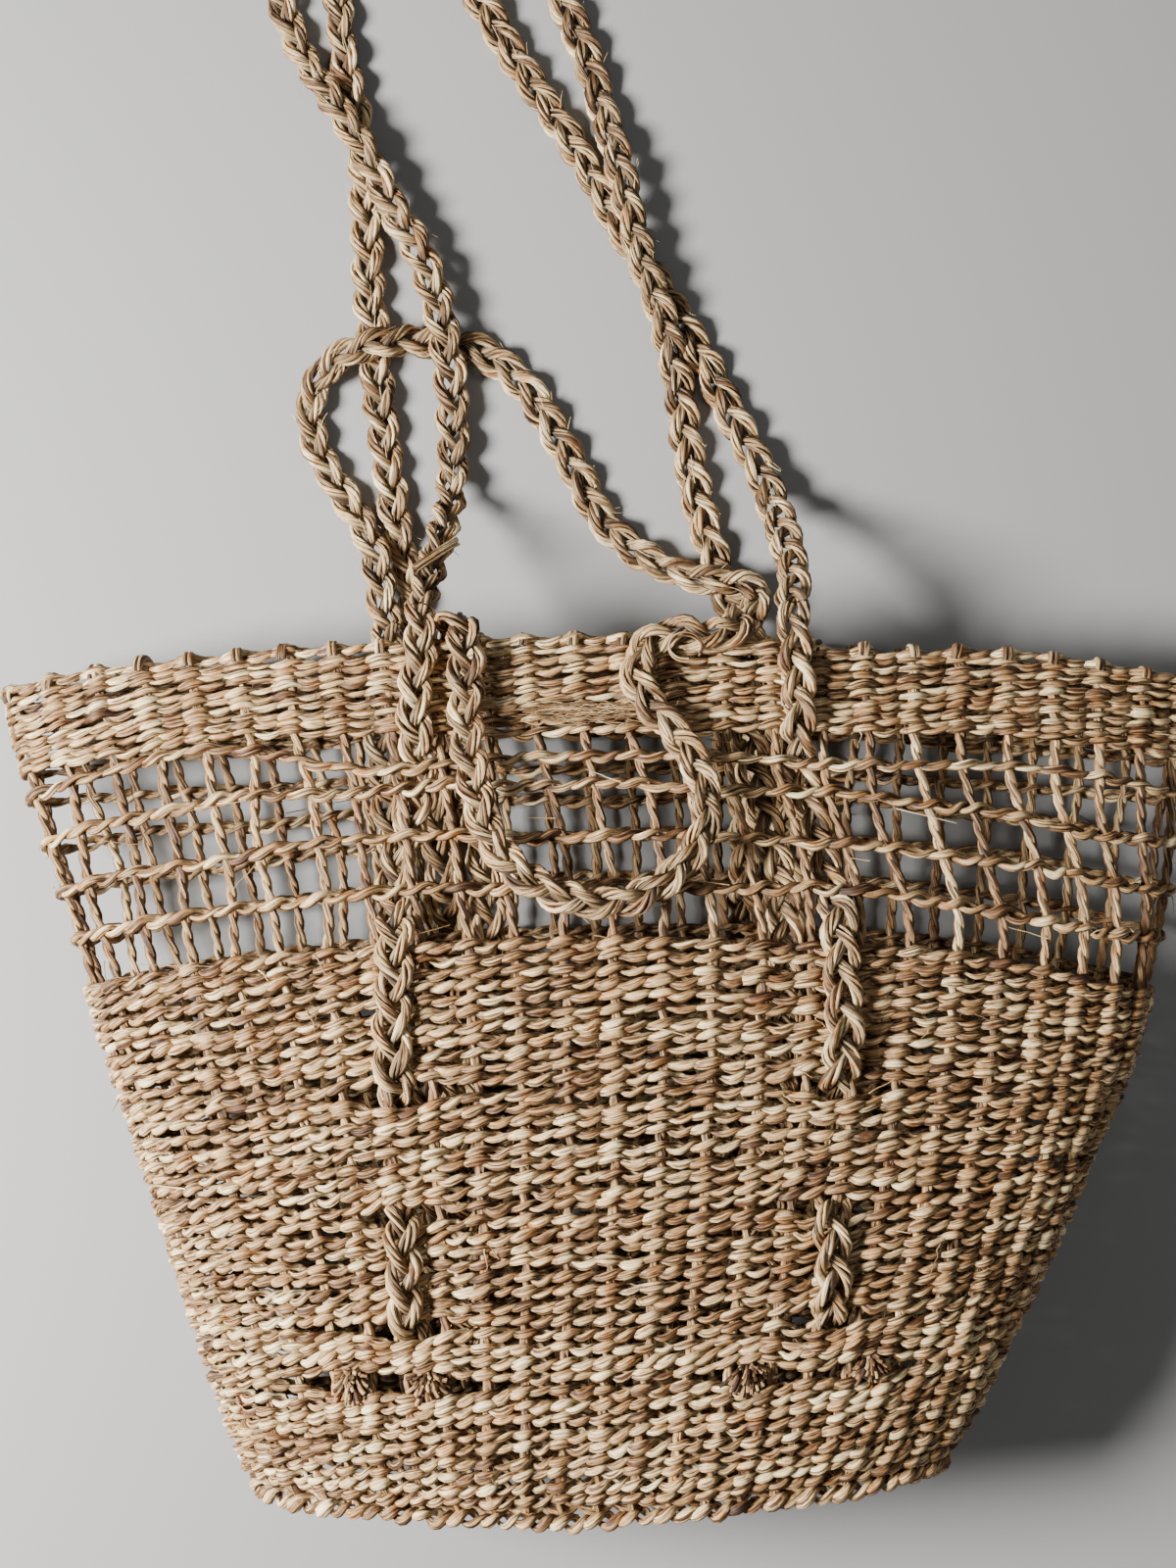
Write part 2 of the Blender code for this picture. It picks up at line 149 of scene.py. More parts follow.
FRONT_SHORT = [
    (-53, 167, 70), (-52, 158, 71.5), (-52, 144, 71.5), (-52, 128, 75), (-49, 107, 83), (-43, 85, 87),
    (-30.5, 69, 90), (-15, 60, 91.5), (0, 57, 92), (19, 61, 91.5), (34, 73, 90), (43, 91, 86.5),
    (40, 108, 82.5), (31, 123, 77), (20, 136, 74), (15, 149, 71.5), (20, 160, 69.5), (31, 164, 69),
    (43, 162, 69), (54, 164, 68.5),
]
HANDLES = {
    "front_long": FRONT_LONG,
    "back_long": BACK_LONG,
    "back_short": BACK_SHORT,
    "front_short": FRONT_SHORT,
}
LINE_STEP = 0.002

# A flat braid lies lower than a round rope of its width
ROUND_HEIGHTS = (0.0, 0.0055, 0.0175, 0.032, 0.2)
FLAT_HEIGHTS = (0.0, 0.0037, 0.0112, 0.032, 0.2)

# Rises of the hand-made edges and cords at these stakes, over the front and back round behind it
LEVEL_STAKES = (0, 2, 4.5, 7, 11, 18, 21, 24, 30, 46, 52)
LEVELS = {
    "rim_edge": (1.010, 1.020, 1.012, 1.002, 1.000, 0.992, 1.008, 1.010, 1.000, 1.000, 1.010),
    "band_foot": (0.900, 0.902, 0.903, 0.887, 0.872, 0.880, 0.890, 0.900, 0.875, 0.875, 0.900),
    "net_cord_1": (0.869, 0.883, 0.899, 0.838, 0.848, 0.836, 0.855, 0.853, 0.830, 0.830, 0.869),
    "net_cord_2": (0.807, 0.821, 0.819, 0.816, 0.809, 0.803, 0.791, 0.784, 0.790, 0.790, 0.807),
    "net_cord_3": (0.743, 0.758, 0.751, 0.760, 0.746, 0.740, 0.727, 0.723, 0.742, 0.742, 0.743),
    "net_cord_4": (0.678, 0.692, 0.690, 0.695, 0.684, 0.685, 0.664, 0.657, 0.688, 0.688, 0.678),
    "wall_top": (0.622, 0.634, 0.632, 0.633, 0.627, 0.624, 0.610, 0.590, 0.630, 0.630, 0.622),
}


def smooth(x):
    x = np.clip(x, 0.0, 1.0)
    return x * x * (3 - 2 * x)


def along_line(points):
    """The distance along a line to each of its points."""
    return np.concatenate([[0], np.cumsum(np.linalg.norm(np.diff(points, axis=0), axis=1))])


def line_length(points):
    return float(np.linalg.norm(np.diff(points, axis=0), axis=1).sum())


def hump(distance, width):
    return np.exp(-((distance / width) ** 2))


def stakes_from(turn, column):
    """How many stakes round the bag these turns are from a stake gap."""
    return np.abs((turn * STAKES - column + STAKES / 2) % STAKES - STAKES / 2)


def linked(name, data):
    """A new object of this data, in the scene."""
    obj = bpy.data.objects.new(name, data)
    bpy.context.scene.collection.objects.link(obj)
    return obj


# The wall sheet


def half_ring(rise, front):
    """Points of the front or back half of the bag's outline at this rise, and their distance along it."""
    up = max(rise, 0.0)
    belly = math.sin(math.pi * up)
    left = np.array((-0.1375 - 0.106 * rise - 0.003 * belly, -0.171 + 0.309 * rise))
    right = np.array((0.140 + 0.105 * rise + 0.021 * belly, -0.160 + 0.304 * rise))
    bow = -0.0095 + 0.032 * math.sin(math.pi * up / 2)
    # The bag is rounded where it turns up from its base, and gets flatter towards its mouth.
    corner = max(1 - up / 0.1, 0.0) ** 2
    low = 0.0088 - 0.0043 * corner
    top = 0.058 + 0.044 * (1 - up**1.6) - 0.010 * corner
    side = 0.42 * (low + top)
    angle = np.linspace(0, math.pi, 241)
    across = 0.5 - 0.5 * np.cos(angle)
    arch = np.abs(np.sin(angle))
    x = left[0] + (right[0] - left[0]) * across
    y = left[1] + (right[1] - left[1]) * across + bow * arch**2
    if front:
        z = side + (top - side) * arch ** (0.5 + 0.3 * up)
    else:
        z = side - (side - low) * arch**0.4
    points = np.stack([x, y, z], axis=1)
    along = along_line(points)
    return points, along / along[-1]


@functools.cache
def sheet_grid():
    """Points and outward directions of the wall sheet on a fine grid of turns and rises."""
    turns = np.arange(GRID_TURNS) / GRID_TURNS
    front = turns <= 0.5
    points = np.empty((GRID_TURNS, GRID_RISES + 1, 3))
    for column, rise in enumerate(np.linspace(GRID_LOW, GRID_HIGH, GRID_RISES + 1)):
        along = 2 * turns[front]
        lean = smooth((NET_TOP - rise) / (NET_TOP - NET_BOTTOM))
        along = along + 2 / STAKES * lean * np.sin(math.pi * along**3)
        for half, marks in ((front, along), (~front, 2 * (1 - turns[~front]))):
            outline, lengths = half_ring(rise, half is front)
            for axis in range(3):
                points[half, column, axis] = np.interp(marks, lengths, outline[:, axis])
    across = np.roll(points, -4, axis=0) - np.roll(points, 4, axis=0)
    along = np.gradient(points, axis=1)
    outward = np.cross(across, along)
    outward /= np.linalg.norm(outward, axis=2, keepdims=True)
    return points - BAG_MIDDLE, outward


def wall(turn, rise, out=0.0):
    """Points of the wall for arrays of turns and rises, moved out of the sheet by out."""
    turn, rise, out = np.broadcast_arrays(np.asarray(turn, float), rise, out)
    column = (turn % 1.0) * GRID_TURNS
    row = np.clip((rise - GRID_LOW) / (GRID_HIGH - GRID_LOW) * GRID_RISES, 0, GRID_RISES - 0.001)
    left = np.floor(column).astype(int) % GRID_TURNS
    low = np.floor(row).astype(int)
    u = (column % 1.0)[..., None]
    v = (row % 1.0)[..., None]
    right = (left + 1) % GRID_TURNS
    placed = []
    for table in sheet_grid():
        under = table[left, low] * (1 - u) + table[right, low] * u
        over = table[left, low + 1] * (1 - u) + table[right, low + 1] * u
        placed.append(under * (1 - v) + over * v)
    return placed[0] + placed[1] * out[..., None]


def leg_side(rise):
    """1 where a long leg lies outside the wall and -1 where it lies inside."""
    side = 1.0
    for crossing in LONG_CROSSINGS:
        side = side * (1 - 2 * smooth((crossing + CROSSING_HALF - rise) / (2 * CROSSING_HALF)))
    return side


def long_leg_column(columns, rise):
    """The stake gap that a long leg runs in at this rise."""
    column = columns[0]
    for number, crossing in enumerate(LONG_CROSSINGS):
        before = OVER_RIM if number == 0 else LONG_CROSSINGS[number - 1] - CROSSING_EASE
        after = crossing + CROSSING_EASE
        change = columns[number + 1] - columns[number]
        column = column + change * smooth((before - rise) / (before - after))
    return column


def level(name, turn):
    """The rise of a hand-made edge or cord at these turns."""
    stake = np.asarray(turn) * STAKES - 0.5
    eases = (-1.0, -0.4, 0.4, 1.0)
    return sum(np.interp((stake + ease) % STAKES, LEVEL_STAKES, LEVELS[name]) for ease in eases) / len(eases)


def slots():
    """Every slot that a leg or a tuft goes through in the closely twined wall, as (column, rise)."""
    places = []
    for columns in LONG_LEGS.values():
        places += list(zip(columns[3:], LONG_CROSSINGS[2:]))
    return places + [(column, TUFT_RISE) for column in TUFTS.values()]


def pushed_rise(turn, rise, spread):
    """Rows part above and below each slot."""
    moved = np.array(np.broadcast_to(rise, np.shape(turn)), float)
    for column, height in slots():
        near = hump(stakes_from(turn, column), 0.95) * hump(rise - height, 0.028)
        moved += np.where(rise >= height, 1.0, -1.0) * near * spread / RISE_LENGTH
    return moved


def wall_swell(turn, rise):
    """How far the hand-made wall leaves its even sheet, and how the held legs push it in and out."""
    around = 2 * math.pi * turn
    swell = 0.0007 * np.sin(3 * around + 9 * rise) + 0.0005 * np.sin(7 * around - 14 * rise + 1.3)
    swell = swell + 0.0005 * np.sin(11 * around + 23 * rise + 0.6)
    push = 0.0016
    dense = smooth((0.60 - rise) / 0.04) * smooth((rise - 0.10) / 0.05)
    for columns in LONG_LEGS.values():
        beside = stakes_from(turn, long_leg_column(columns, rise))
        swell = swell - push * leg_side(rise) * dense * hump(beside, 0.8)
    for column in TUFTS.values():
        swell = swell + push * hump(stakes_from(turn, column), 0.9) * hump(rise - 0.09, 0.05)
    return swell


# Strands


class Strands:
    """Tubes of changing thickness that become one mesh, which stores the grain that runs along them."""

    SIDES = 6
    CLEARANCE = 0.0002

    def __init__(self, seed):
        self.chance = np.random.default_rng(seed)
        self.tubes = []

    def add(self, points, radii, tones, shades, closed=False):
        count = len(points)
        points = np.array(points, float)
        radii = np.broadcast_to(radii, count).astype(float)
        points[:, 2] = np.maximum(points[:, 2], radii + self.CLEARANCE)
        self.tubes.append((
            points,
            radii,
            np.broadcast_to(tones, count).astype(float),
            np.broadcast_to(shades, count).astype(float),
            closed,
            self.chance.uniform(0, 40),
        ))

    def make(self, name, material):
        """One mesh object of all the tubes."""
        curve = bpy.data.curves.new(name + "_line", "CURVE")
        curve.dimensions = "3D"
        curve.bevel_depth = 0.001
        curve.bevel_resolution = 1
        curve.use_fill_caps = False
        for points, radii, _tones, _shades, closed, _start in self.tubes:
            spline = curve.splines.new("POLY")
            spline.points.add(len(points) - 1)
            places = np.column_stack([points, np.ones(len(points))])
            spline.points.foreach_set("co", places.ravel())
            spline.points.foreach_set("radius", radii * 1000)
            spline.use_cyclic_u = closed
        drawn = linked(name + "_line", curve)
        graph = bpy.context.evaluated_depsgraph_get()
        mesh = bpy.data.meshes.new_from_object(drawn.evaluated_get(graph))
        bpy.data.objects.remove(drawn)
        mesh.name = name
        self.store_grain(mesh)
        mesh.shade_smooth()
        mesh.materials.clear()
        mesh.materials.append(material)
        return linked(name, mesh)

    def store_grain(self, mesh):
        """Where each vertex lies in its fibre, how light that fibre's own colour is, and how deep in painted
        shade it is.
        """
        grains = []
        tones = []
        shades = []
        angle = np.arange(self.SIDES) * 2 * math.pi / self.SIDES
        for points, radii, tone, shade, _closed, start in self.tubes:
            along = along_line(points) + start
            thick = np.maximum(radii, 0.0004)[:, None]
            grain = np.stack([
                np.cos(angle) * thick,
                np.sin(angle) * thick,
                np.repeat(along[:, None], self.SIDES, axis=1),
            ], axis=2)
            grains.append(grain.reshape(-1, 3))
            tones.append(np.repeat(tone, self.SIDES))
            shades.append(np.repeat(shade, self.SIDES))
        grains = np.concatenate(grains)
        if len(grains) != len(mesh.vertices):
            raise RuntimeError(f"{mesh.name}: {len(mesh.vertices)} vertices for {len(grains)} grain values")
        for label, kind, field, values in (
            ("grain", "FLOAT_VECTOR", "vector", grains.ravel()),
            ("tone", "FLOAT", "value", np.concatenate(tones)),
            ("shade", "FLOAT", "value", np.concatenate(shades)),
        ):
            mesh.attributes.new(label, kind, "POINT").data.foreach_set(field, values.astype(np.float32))


# Twined rows


def row_turns(points_each):
    return (np.arange(STAKES * points_each) / points_each + 0.5) / STAKES


def hand_wander(chance, turn):
    """How a row leaves its even height, as a sum of slow waves."""
    return sum(
        chance.normal(0, WANDER) * np.sin(2 * math.pi * turn * wave + chance.uniform(0, 6))
        for wave in WANDER_WAVES
    )


def leaf_front(phase):
    """1 at the middle of a leaf, 0 at its two ends, and -1 where the ply is farthest behind the stakes."""
    front = np.cos(phase + LEAF_LEAD) + LEAF_LENGTH
    return np.where(front > 0, front / (1 + LEAF_LENGTH), front / (1 - LEAF_LENGTH))


# Painted shade: a ply is darkest at the two tips of each leaf, where it dives into the weave, a little
# lighter behind the stakes, and fully lit only over the middle of a leaf; dark is the deepest painted shade.
def leaf_shade(front, dark):
    lit = np.clip(0.18 + front * np.where(front > 0, 1.05, -0.25), 0, 1)
    return dark + (1 - dark) * lit**0.8


def twined_row(
    strands, rise, ply_radius, ply_out, ply_lift, spread=0.0, points_each=ROW_POINTS, waist=0.3, dark=0.22
):
    """Two plies with a full turn between the stakes: one goes in front of a stake, the other behind it.

    Each ply shows as a long pointed leaf: its left end lies over the right end of the one before it.
    """
    # dark is the deepest painted shade of a ply, at the tips of its leaves where it dives into the weave.
    step = np.arange(STAKES * points_each) / points_each
    turn = row_turns(points_each)
    chance = strands.chance
    row_tone = chance.normal(0, 0.04)
    row_slant = chance.uniform(0.75, 1.15)
    wander = hand_wander(chance, turn)
    at_stake = np.cos(2 * math.pi * step)
    for ply in (0, 1):
        uneven = chance.normal(0, UNEVENNESS, STAKES)
        late = np.interp(step, np.arange(STAKES + 1), np.append(uneven, uneven[0]))
        phase = math.pi * (2 * step - ply) + late
        front = leaf_front(phase)
        bead = np.floor(step + 0.5 * (1 - ply)).astype(int) % STAKES
        size = chance.normal(1.04 - 0.16 * ply, 0.14, STAKES).clip(0.66, 1.4)[bead]
        slant = chance.normal(row_slant, 0.22, STAKES)[bead]
        lift = (chance.normal(0, 0.0004, STAKES)[bead] + 0.0006 - 0.0014 * ply) * np.clip(front, 0, 1)
        tone = chance.normal(0.5 + row_tone, 0.13, STAKES)[bead]
        bulge = np.abs(front) ** 0.6 * np.where(front > 0, 1, 0.7)
        radius = ply_radius * size * (waist + (1 - waist) * bulge)
        out = ply_out * (0.84 + 0.16 * at_stake) * np.sign(front) * np.abs(front) ** 0.7
        out = out + wall_swell(turn, rise)
        climb = ply_lift * slant * np.sin(phase) + wander + lift
        height = pushed_rise(turn, rise, spread) + climb / RISE_LENGTH
        # The shade given to each point is painted shade from leaf_shade.
        strands.add(wall(turn, height, out), radius, tone, leaf_shade(front, dark), closed=True)


def twined_stake(strands, number, low, high, radius, twist_length, sway):
    """Two thin plies twisted into one cord that runs up through the rows."""
    point_gap = 0.0028
    rise = np.linspace(low, high, max(round((high - low) * RISE_LENGTH / point_gap), 4))
    ply_off = 0.55 * radius
    chance = strands.chance
    in_net = np.sin(math.pi * np.clip((rise - NET_BOTTOM) / (NET_TOP - NET_BOTTOM), 0, 1))
    bend = in_net * chance.normal(0, sway) + 0.03 * np.sin(rise * 40 + number)
    turn = (number + 0.5 + bend) / STAKES
    tone = chance.normal(0.42, 0.08)
    start = chance.uniform(0, 6)
    for ply in (0, 1):
        phase = 2 * math.pi * rise * RISE_LENGTH / twist_length + math.pi * ply + start
        across = ply_off * np.cos(phase)
        out = -0.0004 + ply_off * np.sin(phase) + wall_swell(turn, rise)
        placed = wall(turn, rise, out)
        beside = wall(turn + 0.001, rise, out) - placed
        beside /= np.linalg.norm(beside, axis=1, keepdims=True)
        strands.add(placed + beside * across[:, None], radius * chance.normal(1, 0.08), tone, 0.85)


# Braids


def even_line(points, step):
    """Even points of a smooth curve through these."""
    points = np.asarray(points, float)
    knots = np.vstack([2 * points[0] - points[1], points, 2 * points[-1] - points[-2]])
    fine = []
    for number in range(1, len(knots) - 2):
        a, b, c, d = knots[number - 1 : number + 3]
        for u in np.arange(12) / 12:
            bent = (2 * a - 5 * b + 4 * c - d) * u**2 + (3 * b - a - 3 * c + d) * u**3
            fine.append(0.5 * (2 * b + (c - a) * u + bent))
    fine.append(points[-1])
    return resample(np.array(fine), step)


def resample(line, step):
    marks = along_line(line)
    even = np.linspace(0, marks[-1], max(round(marks[-1] / step), 2) + 1)
    return np.stack([np.interp(even, marks, line[:, axis]) for axis in range(3)], axis=1)


def long_leg_line(columns):
    """From over the rim, outside the band, in behind the net, and in and out of the wall to the last slot."""
    rise = np.linspace(OVER_RIM, LONG_LEG_END, 70)
    return wall(long_leg_column(columns, rise) / STAKES, rise, STRAP_OUT * 0.9 * leg_side(rise))


def short_leg_line(columns, over_border):
    start, end, drift = columns
    rise = np.linspace(SHORT_LEG_TOP if over_border else OVER_RIM, SHORT_LEG_END, 60)
    column = start + (end - start) * smooth((drift - rise) / 0.17)
    line = wall(column / STAKES, rise, -STRAP_OUT)
    if over_border:
        bend_rise = np.array((OVER_BORDER, OVER_BORDER, 1.012))
        bend_out = np.array((-0.0005, -0.0025, -0.005))
        line = np.vstack([wall(start / STAKES, bend_rise, bend_out), line])
    return line


def rim_exit(line):
    """Two points by which a free rope goes on from its leg, no lower than it can rest on the floor."""
    along = line[0] - line[1]
    along /= np.linalg.norm(along)
    points = [line[0] + along * distance for distance in (EXIT_GAP, EXIT_GAP + 0.005)]
    return [np.array((x, y, max(z, REST_Z - BAG_MIDDLE[2]))) for x, y, z in points]


def eased(line):
    """A line with its corners rounded by a weighted mean of nine points."""
    kernel = np.array((1, 2, 3, 4, 5, 4, 3, 2, 1)) / 25
    padded = np.vstack([line[:1]] * 4 + [line] + [line[-1:]] * 4)
    return np.stack([np.convolve(padded[:, axis], kernel, "valid") for axis in range(3)], axis=1)


def handle_line(name):
    """The middle line of one handle, and the shares of its length where its free rope starts and ends."""
    place, size = name.split("_")
    legs = []
    for side in ("left", "right"):
        if size == "long":
            legs.append(long_leg_line(LONG_LEGS[f"{place}_{side}"]))
        else:
            legs.append(short_leg_line(SHORT_LEGS[f"{place}_{side}"], place == "front"))
    exits = [rim_exit(leg) for leg in legs]
    route = [np.array((*point, REST_Z * 1000)[:3]) / 1000 - BAG_MIDDLE for point in HANDLES[name]]
    rope = even_line(exits[0] + route + exits[1][::-1], LINE_STEP)
    if name != "front_short":
        rope[:, 2] = np.interp(rope[:, 2], ROUND_HEIGHTS, FLAT_HEIGHTS)
    whole = np.vstack([legs[0][::-1], rope, legs[1]])
    marks = along_line(whole)
    first = marks[len(legs[0])]
    last = marks[len(legs[0]) + len(rope) - 1]
    return eased(resample(whole, LINE_STEP)), np.array((first, last)) / marks[-1]


def line_frames(line, roll):
    """The directions across the flat side of a braid on this line and out of that side."""
    along = np.gradient(line, axis=0)
    along /= np.linalg.norm(along, axis=1, keepdims=True)
    across = np.zeros_like(line)
    now = np.array((1.0, 0.0, 0.0))
    for number, ahead in enumerate(along):
        wanted = np.cross(ahead, (0, 0, 1))
        length = np.linalg.norm(wanted)
        if number == 0:
            now = wanted / max(length, 1e-6)
        elif length > 0.25:
            wanted = wanted / length
            now = now + 0.12 * wanted * math.copysign(1, now @ wanted)
        now = now - ahead * (now @ ahead)
        now = now / np.linalg.norm(now)
        across[number] = now
    up = np.cross(across, along)
    turned = across * np.cos(roll)[:, None] + up * np.sin(roll)[:, None]
    return turned, np.cross(turned, along)


class Braid:
    """Three flat strands of several yarns, plaited along a line."""

    POINT_GAP = 0.0022
    YARN_RADIUS = 0.00098
    BUNDLE_RADIUS = 0.0016
    YARN_TWIST = 0.023
    WIDER_IN_LEG = 0.15

    def __init__(self, line, share, seed, half_wide, half_thick, period, yarns):
        chance = np.random.default_rng(seed)
        self.line = line
        self.marks = along_line(line)
        self.length = self.marks[-1]
        roll = 0.30 * np.sin(self.marks / 0.06 + chance.uniform(0, 6))
        self.across, self.up = line_frames(line, roll * self.floor_free())
        self.half_wide = half_wide
        self.half_thick = half_thick
        self.period = period
        self.yarns = yarns
        first, last = share * self.length
        in_leg = smooth((first - self.marks) / 0.03) + smooth((self.marks - last) / 0.03)
        swing = 0.10 * np.sin(self.marks / 0.045 + chance.uniform(0, 6))
        self.pull = 1 + swing + self.WIDER_IN_LEG * in_leg
        shape = (3, yarns)
        self.strand_tone = chance.normal(0.5, 0.05, 3)
        self.yarn_tone = chance.normal(0, 0.15, shape)
        self.yarn_size = chance.normal(1, 0.18, shape).clip(0.65, 1.4)
        self.yarn_start = chance.uniform(0, 6, shape)
        self.yarn_drift = chance.normal(0, 0.00026, (*shape, 4))

    def floor_free(self):
        """How freely the braid can roll: less where it lies on the floor."""
        return smooth((self.line[:, 2] - 0.004) / 0.02) * 0.7 + 0.3

    def at(self, mark, table):
        return np.stack([np.interp(mark, self.marks, table[:, axis]) for axis in range(3)], axis=-1)

    def beside(self, mark, across, up):
        """Points at these marks, moved across the braid and out of its flat side."""
        placed = self.at(mark, self.line)
        placed = placed + self.at(mark, self.across) * across[:, None]
        return placed + self.at(mark, self.up) * up[:, None]

    def part(self, strands, first, last):
        """Adds the yarns between two marks along the line."""
        mark = np.linspace(first, last, max(round((last - first) / self.POINT_GAP), 4))
        bundle = self.BUNDLE_RADIUS
        for strand in range(3):
            phase = 2 * math.pi * (mark / self.period + strand / 3)
            pull = np.interp(mark, self.marks, self.pull)
            x = self.half_wide * pull * np.sin(phase)
            z = self.half_thick * np.sin(2 * phase)
            slope = self.half_wide * pull * np.cos(phase) * 2 * math.pi / self.period
            steep = np.sqrt(1 + slope**2)
            for yarn in range(self.yarns):
                around = 2 * math.pi * (mark / self.YARN_TWIST + yarn / self.yarns) + strand
                offset = bundle * np.cos(around) * (1 + 0.1 * np.sin(phase + yarn))
                shift = np.clip(mark - offset * slope / steep, first, last)
                lift = z + 0.7 * bundle * np.sin(around)
                drift = self.yarn_drift[strand, yarn]
                wave = mark / 0.011 + self.yarn_start[strand, yarn]
                stray = drift[0] * np.sin(wave) + drift[1] * np.sin(wave * 0.43 + yarn)
                wobble = drift[2] * np.sin(wave * 1.3) + drift[3] * np.sin(wave * 0.6 + strand)
                across = x + offset / steep + stray
                placed = self.beside(shift, across, lift + wobble)
                lumps = 1 + 0.14 * np.sin(mark / 0.0045 + yarn * 2)
                radius = self.YARN_RADIUS * self.yarn_size[strand, yarn] * lumps
                tone = self.strand_tone[strand] + self.yarn_tone[strand, yarn]
                tone = tone + 0.08 * np.sin(mark / 0.02 + yarn)
                # Painted shade: yarns are darkened where they lie deep inside the braid, towards the middle
                # of its width and thickness.
                outward = np.hypot(lift / (self.half_thick + bundle), across / (self.half_wide + bundle))
                shade = 0.35 + 0.65 * smooth(outward * 1.25 - 0.15)
                strands.add(placed, radius, tone, shade)

    def hairs(self, strands, first, last, count):
        """Fine ends that leave the braid at a low angle."""
        chance = strands.chance
        u = np.linspace(0, 1, 6)
        for _hair in range(count):
            mark = chance.uniform(first + 0.01, last - 0.02)
            side = chance.uniform(0, 2 * math.pi)
            reach = chance.uniform(0.001, 0.005)
            marks = mark + chance.uniform(0.004, 0.012) * u * chance.choice((-1, 1))
            away = 0.7 + reach / 0.005 * u**1.5
            across = self.half_wide * 1.25 * math.cos(side) * away
            up = self.half_thick * 1.5 * abs(math.sin(side)) * away
            placed = self.beside(marks, across, up)
            strands.add(placed, 0.00020 * (1.2 - 0.7 * u), chance.normal(0.6, 0.15), 0.95)


# Finishes


def linear(colour):
    return tuple(((c + 0.055) / 1.055) ** 2.4 if c > 0.04045 else c / 12.92 for c in colour) + (1,)


def grass_material(name, dark, middle, light, roughness, streak, bump):
    """Dried grass: lengthwise fibres, painted shade in the creases between them, and lighter and darker
    patches.
    """
    material = bpy.data.materials.new(name)
    material.use_nodes = True
    nodes = material.node_tree.nodes
    links = material.node_tree.links
    shader = nodes["Principled BSDF"]
    shader.inputs["Roughness"].default_value = roughness
    shader.inputs["Specular IOR Level"].default_value = 0.35

    def attribute(label, output="Fac"):
        node = nodes.new("ShaderNodeAttribute")
        node.attribute_name = label
        return node.outputs[output]

    def noise(vector, scale, detail):
        node = nodes.new("ShaderNodeTexNoise")
        node.inputs["Scale"].default_value = scale
        node.inputs["Detail"].default_value = detail
        node.inputs["Roughness"].default_value = 0.6
        links.new(vector, node.inputs["Vector"])
        return node.outputs["Fac"]

    def math_node(operation, first, second, clamp=False):
        node = nodes.new("ShaderNodeMath")
        node.operation = operation
        node.use_clamp = clamp
        for socket, value in zip(node.inputs, (first, second)):
            if isinstance(value, (int, float)):
                socket.default_value = value
            else:
                links.new(value, socket)
        return node.outputs[0]

    def stretched(vector, scale):
        node = nodes.new("ShaderNodeMapping")
        node.inputs["Scale"].default_value = scale
        links.new(vector, node.inputs["Vector"])
        return node.outputs["Vector"]

    def ramp(amount, start, end, middle_stop=None):
        node = nodes.new("ShaderNodeValToRGB")
        elements = node.color_ramp.elements
        for element, (position, colour) in zip(elements, (start, end)):
            element.position = position
            element.color = colour
        if middle_stop:
            elements.new(middle_stop[0]).color = middle_stop[1]
        links.new(amount, node.inputs["Fac"])
        return node.outputs["Color"]

    def multiplied(first, second):
        node = nodes.new("ShaderNodeMix")
        node.data_type = "RGBA"
        node.blend_type = "MULTIPLY"
        node.inputs[0].default_value = 1
        links.new(first, node.inputs[6])
        links.new(second, node.inputs[7])
        return node.outputs[2]

    def about_zero(fac, amount):
        return math_node("MULTIPLY", math_node("SUBTRACT", fac, 0.5), amount)

    grain = attribute("grain", "Vector")
    tone = attribute("tone")
    shade = attribute("shade")
    place = nodes.new("ShaderNodeTexCoord").outputs["Object"]
    fibres = noise(stretched(grain, (1, 1, 0.045)), 1700, 3)
    creases = noise(stretched(grain, (1, 1, 0.03)), 760, 2)
    patches = noise(place, 60, 3)
    flecks = noise(stretched(grain, (1, 1, 0.5)), 420, 2)

    amount = math_node("ADD", about_zero(fibres, streak), tone)
    amount = math_node("ADD", amount, about_zero(patches, 0.30))
    amount = math_node("ADD", amount, about_zero(flecks, 0.5), True)
    straw = ramp(amount, (0.12, linear(dark)), (0.88, linear(light)), (0.48, linear(middle)))
    white = (1, 1, 1, 1)
    # Painted shade: the colour is darkened to a deep brown along the creases between fibres.
    painted_crease_shade = ramp(creases, (0.39, (0.16, 0.10, 0.06, 1)), (0.52, white))
    rust_colour = ramp(noise(place, 130, 2), (0.52, white), (0.68, (0.86, 0.66, 0.50, 1)))
    colour = multiplied(multiplied(straw, painted_crease_shade), rust_colour)
    # Painted shade: the colour is multiplied by each strand's shade attribute.
    links.new(multiplied(colour, shade), shader.inputs["Base Color"])
    height = math_node("ADD", math_node("MULTIPLY", fibres, 0.5), creases)
    bumped = nodes.new("ShaderNodeBump")
    bumped.inputs["Strength"].default_value = bump
    bumped.inputs["Distance"].default_value = 0.0009
    links.new(height, bumped.inputs["Height"])
    links.new(bumped.outputs["Normal"], shader.inputs["Normal"])
    return material


@functools.cache
def body_grass():
    return grass_material(
        "twined_seagrass", dark=(0.31, 0.20, 0.12), middle=(0.70, 0.55, 0.37), light=(1.0, 0.92, 0.72),
        roughness=0.55, streak=1.45, bump=1.0,
    )


@functools.cache
def braid_grass():
    return grass_material(
        "braided_seagrass", dark=(0.33, 0.235, 0.15), middle=(0.74, 0.61, 0.435), light=(0.98, 0.90, 0.72),
        roughness=0.60, streak=1.2, bump=1.0,
    )


@functools.cache
def end_grass():
    return grass_material(
        "cut_seagrass_ends", dark=(0.24, 0.16, 0.10), middle=(0.60, 0.46, 0.31), light=(0.86, 0.73, 0.54),
        roughness=0.75, streak=0.9, bump=0.9,
    )


# Pieces


def on_basket(strands, name, slot, *nodes, grass=body_grass):
    obj = strands.make(name, grass())
    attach(obj, "basket")
    if nodes:
        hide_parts(*nodes)


